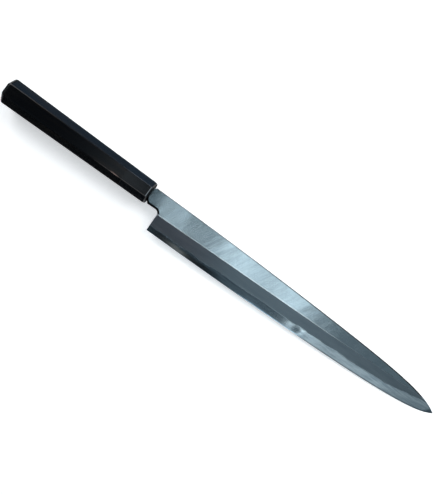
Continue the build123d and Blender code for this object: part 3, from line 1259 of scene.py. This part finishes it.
    def dressed(self, layer: Layer) -> bpy.types.Object:
        """Make one layer's finished piece.

        Args:
            layer: which metal.

        Returns:
            The piece, laid down in the frame with its attributes and finish.
        """
        solid = self.iron_solid() if layer is Layer.SOFT_IRON else self.steel_solid()
        open_edges = sum(1 for edge in solid.edges if not edge.is_manifold)
        log.info("%s: %d edges that aren't closed", layer.value, open_edges)
        mesh = bpy.data.meshes.new(layer.value)
        solid.to_mesh(mesh)
        solid.free()
        rules: dict[Mark, Height] = {
            Mark.FROM_WELD: lambda x, y: y - self.weld_line_y(self.share_at(x)),
            Mark.FROM_BEVEL_LINE: lambda x, y: y - self.bevel_line_y(self.share_at(x)),
            Mark.WORN_OVER: lambda x, y: smooth_step(self.share_at(x), *self.worn_over_shares),
            Mark.INSIDE_RIM: self.inside_rim,
        }
        for mark, rule in rules.items():
            write_mark(mesh, mark, lambda vertex: rule(vertex.co.x, vertex.co.y))
        mesh.shade_smooth()
        mesh.set_sharp_from_angle(angle=math.radians(SHARP_ANGLE))
        on_weld = [vertex.co.z > self.steel_thickness / 2
                   and abs(vertex.co.y - self.weld_line_y(self.share_at(vertex.co.x))) < PLAN_TOLERANCE
                   for vertex in mesh.vertices]
        for edge in mesh.edges:
            if all(on_weld[index] for index in edge.vertices):
                edge.use_edge_sharp = True
        mesh.transform(self.place.to_frame)
        mesh.materials.append(self.finishes[layer].material())
        return show(mesh, f"{layer.value}_dressed")

    def build(self) -> None:
        """Make both layers and fasten them in the frame."""
        fasten(self.dressed(Layer.SOFT_IRON), Layer.SOFT_IRON.value)
        fasten(self.dressed(Layer.HARD_STEEL), Layer.HARD_STEEL.value)


@dataclass
class Handle:
    """The octagonal handle: ebony grip, horn ferrule, and the dowel and resin inside. Sizes in mm."""

    place: RestingPlace
    ebony: OiledEbony = OiledEbony()
    horn: PolishedHorn = PolishedHorn()
    horn_end: SawnHorn = SawnHorn()
    magnolia: TurnedMagnolia = TurnedMagnolia()
    resin: HardenedResin = HardenedResin()
    length: float = 149.5
    butt_height: float = 24.2
    butt_thickness: float = 20.4
    butt_corner_cut: float = 6.6
    corner_slope: float = 0.8               # depth of a cut corner against its width
    front_height: float = 20.8
    front_thickness: float = 18.2
    ferrule_length: float = 26.0
    ferrule_wall: float = 9.0
    rim: float = 1.0
    butt_rim: float = 3.2
    butt_rim_slope: float = 0.35            # depth of the butt's rim against its width
    joint_rim: float = 0.08                 # the hair-fine groove between grip and ferrule
    ridge_radius: float = 1.0
    ridge_steps: int = 4
    facet_lean: float = 0.5                 # a normal that leans further sideways isn't on the front facet
    ridge_lean: float = 0.33                # how far the lower front ridge's normals lean down,
    ridge_reach: float = 0.24               # and how much more or less still counts
    end_lean: float = 0.5                   # a normal that leans further forward is on the front face
    bore_radius: float = 7.45
    bore_end: float = 112.0
    bore_points: int = 96
    slot_end: float = 100.5
    slot_end_size: Plan = (7.0, 3.8)
    slot_mouth: float = 1.0
    slot_mouth_size: Plan = (13.4, 4.99)
    slot_mouth_drop: float = 0.8
    overrun: float = 1.0
    rows: int = 56
    points_round: int = 224

    def tree(self) -> Tree:
        """Geometry tree of one stretch of the handle.

        An octagon is swept along the axis and shaped, and the dowel's bore and the tang's slot are cut out.

        Returns:
            The tree, with named inputs for its sizes.
        """
        tree = bpy.data.node_groups.new("octagonal stretch", "GeometryNodeTree")
        names = {
            "Float": ("Back X", "Front X", "Handle Length", "Height", "Thickness", "Corner Cut",
                      "Corner Slope", "Ridge Radius", "Back Rim", "Front Rim", "Rim Slope", "Axis Z",
                      "Bore Radius", "Bore Back X", "Bore Front X"),
            "Vector": ("Front Taper", "Slot End Size", "Slot End Centre", "Slot Mouth Size",
                       "Slot Mouth Centre"),
            "Int": ("Rows", "Points Round", "Ridge Steps", "Bore Points"),
            "Material": ("Material",),
        }
        for kind, sockets in names.items():
            for name in sockets:
                tree.interface.new_socket(name, in_out="INPUT", socket_type=f"NodeSocket{kind}")
        tree.interface.new_socket("Geometry", in_out="OUTPUT", socket_type="NodeSocketGeometry")
        given = add_node(tree, "NodeGroupInput").node.outputs
        solid = add_node(tree, "GeometryNodeSetPosition", inputs={
            "Geometry": self.swept(tree, given), "Position": self.shaped(tree, given)})
        for tool in (self.bore(tree, given), self.slot(tree, given)):
            solid = add_node(tree, "GeometryNodeMeshBoolean", {"operation": "DIFFERENCE", "solver": "EXACT"},
                             {"Mesh 1": solid, "Mesh 2": tool})
        real = add_node(tree, "GeometryNodeRealizeInstances", inputs={"Geometry": solid})
        dressed = add_node(tree, "GeometryNodeSetMaterial", inputs={
            "Geometry": real, "Material": given["Material"]})
        add_node(tree, "NodeGroupOutput", inputs=(dressed,))
        return tree

    def swept(self, tree: Tree, given: bpy.types.NodeOutputs) -> Socket:
        """Octagon of the butt's size with eased ridges, swept along one unit of X.

        A rectangle's corners are cut to make it. They are cut at 45 degrees, so its depth is stretched
        here and pressed back by the corners' slope when it is shaped.

        Args:
            tree: the geometry tree.
            given: the tree's inputs.

        Returns:
            The socket of the swept geometry.
        """
        stretched = add_node(tree, "ShaderNodeMath", {"operation": "DIVIDE"}, (
            given["Thickness"], given["Corner Slope"]))
        profile = add_node(tree, "GeometryNodeCurvePrimitiveQuadrilateral", inputs={
            "Width": given["Height"], "Height": stretched})
        for count, radius in ((1, given["Corner Cut"]), (given["Ridge Steps"], given["Ridge Radius"])):
            profile = add_node(tree, "GeometryNodeFilletCurve", {"mode": "POLY"}, {
                "Curve": profile, "Count": count, "Radius": radius})
        profile = add_node(tree, "GeometryNodeResampleCurve", inputs={
            "Curve": profile, "Count": given["Points Round"]})
        axis = add_node(tree, "GeometryNodeCurvePrimitiveLine", inputs={"End": (1.0, 0.0, 0.0)})
        rows = add_node(tree, "GeometryNodeResampleCurve", inputs={"Curve": axis, "Count": given["Rows"]})
        return add_node(tree, "GeometryNodeCurveToMesh", inputs={
            "Curve": rows, "Profile Curve": profile, "Fill Caps": True})

    def shaped(self, tree: Tree, given: bpy.types.NodeOutputs) -> Socket:
        """Place of each point of the swept octagon.

        Its rows lie closer together at both ends, where each side loses the rims' rounding, and taper
        with X.

        Args:
            tree: the geometry tree.
            given: the tree's inputs.

        Returns:
            The socket of the place.
        """
        start = add_node(tree, "GeometryNodeInputPosition")
        start_x = add_node(tree, "ShaderNodeSeparateXYZ", inputs=(start,))
        half_turn = add_node(tree, "ShaderNodeMath", {"operation": "MULTIPLY"}, (start_x, math.pi))
        cosine = add_node(tree, "ShaderNodeMath", {"operation": "COSINE"}, (half_turn,))
        new_x = add_node(tree, "ShaderNodeMapRange", inputs=(
            cosine, 1.0, -1.0, given["Back X"], given["Front X"]))
        from_butt = add_node(tree, "ShaderNodeMath", {"operation": "ADD"}, (new_x, given["Handle Length"]))
        forward = add_node(tree, "ShaderNodeMath", {"operation": "DIVIDE"}, (
            from_butt, given["Handle Length"]))
        taper = add_node(tree, "ShaderNodeMix", {"data_type": "VECTOR"}, (
            forward, (1.0, 1.0, 1.0), given["Front Taper"]))

        lost: Socket | float = 0.0
        for end, rim in (("Back X", "Back Rim"), ("Front X", "Front Rim")):
            gap = add_node(tree, "ShaderNodeMath", {"operation": "SUBTRACT"}, (new_x, given[end]))
            inside = add_node(tree, "ShaderNodeMath", {"operation": "ABSOLUTE"}, (gap,))
            short = add_node(tree, "ShaderNodeMath", {"operation": "SUBTRACT"}, (given[rim], inside))
            reach = add_node(tree, "ShaderNodeMath", {"operation": "MAXIMUM"}, (short, 0.0))
            squares = [add_node(tree, "ShaderNodeMath", {"operation": "MULTIPLY"}, (side, side))
                       for side in (given[rim], reach)]
            left = add_node(tree, "ShaderNodeMath", {"operation": "SUBTRACT"}, squares)
            root = add_node(tree, "ShaderNodeMath", {"operation": "SQRT"}, (left,))
            drop = add_node(tree, "ShaderNodeMath", {"operation": "SUBTRACT"}, (given[rim], root))
            lost = add_node(tree, "ShaderNodeMath", {"operation": "MULTIPLY_ADD"}, (drop, 2.0, lost))
        deep = add_node(tree, "ShaderNodeMath", {"operation": "DIVIDE"}, (
            given["Thickness"], given["Rim Slope"]))
        whole = add_node(tree, "ShaderNodeCombineXYZ", inputs=(1.0, given["Height"], deep))
        lost_share = add_node(tree, "ShaderNodeVectorMath", {"operation": "DIVIDE"}, (lost, whole))
        kept = add_node(tree, "ShaderNodeVectorMath", {"operation": "SUBTRACT"}, (taper, lost_share))
        section = add_node(tree, "ShaderNodeVectorMath", {"operation": "MULTIPLY"}, (start, kept))
        across = add_node(tree, "ShaderNodeSeparateXYZ", inputs=(section,)).node.outputs
        risen = add_node(tree, "ShaderNodeMath", {"operation": "MULTIPLY_ADD"}, (
            across["Z"], given["Corner Slope"], given["Axis Z"]))
        return add_node(tree, "ShaderNodeCombineXYZ", inputs=(new_x, across["Y"], risen))

    def bore(self, tree: Tree, given: bpy.types.NodeOutputs) -> Socket:
        """Round plug that cuts the dowel's bore.

        Args:
            tree: the geometry tree.
            given: the tree's inputs.

        Returns:
            The socket of the plug.
        """
        depth = add_node(tree, "ShaderNodeMath", {"operation": "SUBTRACT"}, (
            given["Bore Front X"], given["Bore Back X"]))
        plug = add_node(tree, "GeometryNodeMeshCylinder", inputs={
            "Vertices": given["Bore Points"], "Radius": given["Bore Radius"], "Depth": depth})
        middle = add_node(tree, "ShaderNodeMix", inputs=(HALF, given["Bore Back X"], given["Bore Front X"]))
        place = add_node(tree, "ShaderNodeCombineXYZ", inputs=(middle, 0.0, given["Axis Z"]))
        return add_node(tree, "GeometryNodeTransform", inputs={
            "Geometry": plug, "Translation": place, "Rotation": (0.0, math.pi / 2, 0.0)})

    def slot(self, tree: Tree, given: bpy.types.NodeOutputs) -> Socket:
        """Wedge that cuts the tang's slot, between a section at its end and one at its mouth.

        Args:
            tree: the geometry tree.
            given: the tree's inputs.

        Returns:
            The socket of the wedge.
        """
        cube = add_node(tree, "GeometryNodeMeshCube")
        corner = add_node(tree, "GeometryNodeInputPosition")
        corner_x = add_node(tree, "ShaderNodeSeparateXYZ", inputs=(corner,))
        forward = add_node(tree, "ShaderNodeMath", {"operation": "ADD"}, (corner_x, HALF))
        size, centre = (
            add_node(tree, "ShaderNodeMix", {"data_type": "VECTOR"}, (
                forward, given[f"Slot End {part}"], given[f"Slot Mouth {part}"]))
            for part in ("Size", "Centre"))
        place = add_node(tree, "ShaderNodeVectorMath", {"operation": "MULTIPLY_ADD"}, (corner, size, centre))
        return add_node(tree, "GeometryNodeSetPosition", inputs={"Geometry": cube, "Position": place})

    def sizes(self, stretch: Stretch) -> dict[str, Any]:
        """Inputs of the tree for one stretch.

        Args:
            stretch: the grip or the ferrule.

        Returns:
            A value for each of the tree's inputs, by name.
        """
        joint = -self.ferrule_length
        is_grip = stretch is Stretch.GRIP
        # The slot's wedge is centred in X between its two ends, and as long as they are apart.
        slot_run = self.slot_mouth + self.slot_end
        slot_x = self.slot_mouth - slot_run / 2
        return {
            "Back X": -self.length if is_grip else joint,
            "Front X": joint if is_grip else 0.0,
            "Handle Length": self.length,
            "Height": self.butt_height,
            "Thickness": self.butt_thickness,
            "Corner Cut": self.butt_corner_cut,
            "Corner Slope": self.corner_slope,
            "Ridge Radius": self.ridge_radius,
            "Ridge Steps": self.ridge_steps,
            "Front Taper": (1.0, self.front_height / self.butt_height,
                            self.front_thickness / self.butt_thickness),
            "Back Rim": self.butt_rim if is_grip else self.joint_rim,
            "Front Rim": self.joint_rim if is_grip else self.rim,
            "Rim Slope": self.butt_rim_slope if is_grip else 1.0,
            "Axis Z": self.place.axis_z,
            "Bore Radius": self.bore_radius,
            "Bore Points": self.bore_points,
            "Bore Back X": -self.bore_end if is_grip else joint - self.overrun,
            "Bore Front X": joint + self.overrun if is_grip else -self.ferrule_wall,
            "Slot End Size": (slot_run, *self.slot_end_size),
            "Slot End Centre": (slot_x, 0.0, self.place.axis_z),
            "Slot Mouth Size": (slot_run, *self.slot_mouth_size),
            "Slot Mouth Centre": (slot_x, -self.slot_mouth_drop, self.place.axis_z),
            "Rows": self.rows if is_grip else self.rows // 2,
            "Points Round": self.points_round,
            "Material": self.ebony.material() if is_grip else self.horn.material(),
        }

    def on_lower_ridge(self, vertex: bpy.types.MeshVertex) -> float:
        """How much a vertex belongs to the lower front ridge."""
        near = 1 - abs(vertex.normal.y + self.ridge_lean) / self.ridge_reach
        return max(0.0, near) if vertex.normal.z > 0 else 0.0

    def on_front(self, vertex: bpy.types.MeshVertex) -> float:
        """How much a vertex belongs to the front facet."""
        facing = smooth_step(-abs(vertex.normal.y), -self.facet_lean, 0.0)
        return facing if vertex.normal.z > 0 else 0.0

    def stretch(self, tree: Tree, stretch: Stretch) -> bpy.types.Object:
        """Make one stretch's finished piece.

        Args:
            tree: the geometry tree of a stretch.
            stretch: the grip or the ferrule.

        Returns:
            The piece, laid down in the frame.
        """
        rough = show(bpy.data.meshes.new("rough"), "rough")
        modifier = rough.modifiers.new("octagon", "NODES")
        modifier.node_group = tree
        sizes = self.sizes(stretch)
        for socket in tree.interface.items_tree:
            if socket.in_out == "INPUT":
                modifier[socket.identifier] = sizes[socket.name]
        evaluated = rough.evaluated_get(bpy.context.evaluated_depsgraph_get())
        mesh = bpy.data.meshes.new_from_object(evaluated)
        rough.modifiers.remove(modifier)
        bpy.data.objects.remove(rough)
        free_end = -self.length if stretch is Stretch.GRIP else 0.0
        write_mark(mesh, Mark.FROM_FREE_END, lambda vertex: abs(vertex.co.x - free_end))
        write_mark(mesh, Mark.ON_LOWER_RIDGE, self.on_lower_ridge)
        if stretch is Stretch.FERRULE:
            write_mark(mesh, Mark.ON_FRONT, self.on_front)
            mesh.materials.append(self.horn_end.material())
            for face in mesh.polygons:
                if face.center.x > -PLAN_TOLERANCE and face.normal.x > self.end_lean:
                    face.material_index = len(mesh.materials) - 1
        mesh.transform(self.place.to_frame)
        mesh.shade_smooth()
        mesh.set_sharp_from_angle(angle=math.radians(SHARP_ANGLE))
        return show(mesh, f"{stretch.value}_dressed")

    def build(self) -> None:
        """Make grip and ferrule, and finish the dowel and the resin, whose shapes are right as they are."""
        tree = self.tree()
        fasten(self.stretch(tree, Stretch.GRIP), Stretch.GRIP.value)
        fasten(self.stretch(tree, Stretch.FERRULE), Stretch.FERRULE.value)
        for node, finish in (("tang_dowel", self.magnolia), ("tang_resin", self.resin)):
            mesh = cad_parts[node].data
            mesh.materials.clear()
            mesh.materials.append(finish.material())
            log.info("%s: %d faces", node, len(mesh.polygons))


@dataclass(frozen=True)
class SoftBox:
    """A soft light. It hangs level above the knife, or stands aside and faces it. In metres."""

    name: str
    place: Place
    size: Plan
    level: float                            # brightness of its face, where 1 is plain white
    colour: str = "#eef9ff"
    faces_knife: bool = False

    def build(self) -> None:
        """Add the light, out of the camera's sight."""
        light = bpy.data.lights.new(self.name, "AREA")
        light.shape = "RECTANGLE"
        light.size, light.size_y = self.size
        light.energy = self.level * math.pi * self.size[0] * self.size[1]
        light.color = linear(self.colour)[:3]
        lamp = bpy.data.objects.new(self.name, light)
        lamp.location = self.place
        if self.faces_knife:
            lamp.rotation_euler = Vector(self.place).to_track_quat("Z", "Y").to_euler()
        lamp.visible_camera = False
        bpy.context.scene.collection.objects.link(lamp)


@dataclass(frozen=True)
class Flag:
    """A black card that hangs level and shows in the blade as a soft dark patch. In metres."""

    place: Place
    size: Plan
    card: MattePaper = MattePaper(colour="#060606")

    def build(self) -> None:
        """Add the card, out of the camera's sight."""
        half_x, half_y = self.size[0] / 2, self.size[1] / 2
        x, y, z = self.place
        corners = [(x + side_x * half_x, y + side_y * half_y, z)
                   for side_x, side_y in ((-1, 1), (1, 1), (1, -1), (-1, -1))]
        mesh = bpy.data.meshes.new("flag")
        mesh.from_pydata(corners, [], [(0, 1, 2, 3)])
        mesh.materials.append(self.card.material())
        card = show(mesh, "flag")
        card.visible_camera = False
        card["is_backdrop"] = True


@dataclass
class Studio:
    """Camera, soft lights and a white floor in a grey paper bowl with an open top. Sizes are in metres."""

    camera_place: Place = (-0.0081, 0.00397, 0.422)
    picture_right: Plan = (0.8095, 0.5870)
    focal_pixels: float = 476.0
    long_side_pixels: float = 495.0
    sensor: float = 36.0
    floor_radius: float = 2.4
    wall_radius: float = 3.4
    wall_height: float = 1.2
    cove_steps: int = 12
    round_steps: int = 96
    paper: MattePaper = MattePaper(glow=0.52)
    wall: MattePaper = MattePaper(colour="#55595e")
    world_colour: str = "#bfdcf0"
    world_strength: float = 0.125
    soft_boxes: tuple[SoftBox, ...] = (
        SoftBox("overhead box", (0.134, 0.22, 1.0), (0.125, 0.9), 1.58),
        SoftBox("overhead box, far side", (0.320, 0.22, 1.0), (0.094, 0.9), 1.82),
        SoftBox("heel glow", (-0.107, 0.04, 1.0), (0.045, 0.76), 2.1),
        SoftBox("handle glow", (-0.29, 0.1, 1.0), (0.11, 0.6), 0.52),
        SoftBox("far glow", (0.74, 0.0, 1.0), (0.50, 0.4), 0.05, "#e8f8ff"),
        SoftBox("steel glow", (-0.060, -0.60, 1.0), (0.043, 0.2), 0.26, "#ffe9d6"),
        SoftBox("steel glow, middle", (0.262, -0.53, 1.0), (0.10, 0.2), 0.125, "#d9efff"),
        SoftBox("iron glow", (0.36, -0.79, 1.0), (0.28, 0.18), 3.8, "#d9efff"),
        SoftBox("edge box", (0.418, -0.37, 1.0), (0.05, 0.34), 1.85),
        SoftBox("edge box, middle", (0.505, -0.37, 1.0), (0.12, 0.34), 0.41),
        SoftBox("edge box, far side", (0.66, -0.35, 1.0), (0.20, 0.26), 0.47),
        SoftBox("tip box", (0.93, -0.35, 1.0), (0.34, 0.40), 0.23),
        SoftBox("left fill", (-1.35, 0.75, 1.0), (1.1, 1.1), 4.3, "#ffffff", faces_knife=True),
        SoftBox("right fill", (0.95, 1.1, 0.95), (1.1, 1.1), 4.4, "#ffffff", faces_knife=True),
        SoftBox("ridge box", (-0.30, 1.15, 0.95), (0.16, 0.5), 6.0, "#e4f1ff", faces_knife=True),
        SoftBox("low panel", (-0.15, 2.0, 0.4), (2.4, 0.5), 0.55, "#98c5f2", faces_knife=True),
    )
    flags: tuple[Flag, ...] = (
        Flag((0.031, -0.61, 1.0), (0.128, 0.34)),
        Flag((-0.13, -0.61, 1.0), (0.09, 0.34)),
        Flag((-0.185, 0.05, 1.0), (0.085, 0.6)),
        Flag((-0.03, 0.10, 1.0), (0.055, 0.8)),
        Flag((-0.72, 0.0, 1.0), (0.56, 0.5)),
    )

    def camera(self) -> None:
        """Add the camera, which looks straight down with the picture turned as it was taken."""
        lens = bpy.data.cameras.new("camera")
        lens.sensor_width = self.sensor
        lens.lens = self.focal_pixels / self.long_side_pixels * self.sensor
        camera = bpy.data.objects.new("camera", lens)
        right = Vector((*self.picture_right, 0.0)).normalized()
        back = Vector((0.0, 0.0, 1.0))
        turn = Matrix((right, back.cross(right), back)).transposed().to_4x4()
        camera.matrix_world = Matrix.Translation(self.camera_place) @ turn
        bpy.context.scene.collection.objects.link(camera)
        bpy.context.scene.camera = camera

    def backdrop(self) -> None:
        """Add the paper: a flat white floor that curves up into a round grey wall."""
        cove = self.wall_radius - self.floor_radius
        angles = [math.pi / 2 * step / self.cove_steps for step in range(1, self.cove_steps + 1)]
        profile = [(0.0, 0.0), (self.floor_radius, 0.0)]
        profile += [(self.floor_radius + cove * math.sin(angle), cove * (1 - math.cos(angle)))
                    for angle in angles]
        profile.append((self.wall_radius, self.wall_height))
        shape = bmesh.new()
        points = [shape.verts.new((radius, 0.0, height)) for radius, height in profile]
        edges = [shape.edges.new(pair) for pair in zip(points, points[1:])]
        bmesh.ops.spin(shape, geom=points + edges, cent=(0, 0, 0), axis=(0, 0, 1),
                       angle=2 * math.pi, steps=self.round_steps)
        bmesh.ops.remove_doubles(shape, verts=shape.verts, dist=MM)
        bmesh.ops.recalc_face_normals(shape, faces=shape.faces)
        mesh = bpy.data.meshes.new("paper")
        shape.to_mesh(mesh)
        shape.free()
        if mesh.polygons[0].normal.z < 0:
            mesh.flip_normals()
        mesh.shade_smooth()
        mesh.materials.append(self.paper.material())
        mesh.materials.append(self.wall.material())
        for face in mesh.polygons:
            if face.center.xy.length > self.floor_radius:
                face.material_index = 1
        show(mesh, "paper")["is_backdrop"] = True

    def world(self) -> None:
        """Set a dim, even room behind the open top."""
        world = bpy.data.worlds.new("room")
        world.use_nodes = True
        room = world.node_tree.nodes["Background"]
        room.inputs["Color"].default_value = linear(self.world_colour)
        room.inputs["Strength"].default_value = self.world_strength
        bpy.context.scene.world = world

    def build(self) -> None:
        """Set up the whole studio."""
        self.camera()
        self.backdrop()
        self.world()
        for item in (*self.soft_boxes, *self.flags):
            item.build()
        bpy.context.scene.view_settings.view_transform = "Standard"


def main() -> None:
    """Build the studio and the knife, piece by piece."""
    logging.basicConfig(level=logging.INFO, format="%(name)s: %(message)s")
    Studio().build()
    place = RestingPlace()
    log.info("tilt %.5f degrees", math.degrees(place.tilt))
    Blade(place).build()
    Handle(place).build()
    boxes = {"cad": cad_box, "visual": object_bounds()}
    {name: [list(corner) for corner in box] for name, box in boxes.items()}


if __name__ == "__main__":
    main()
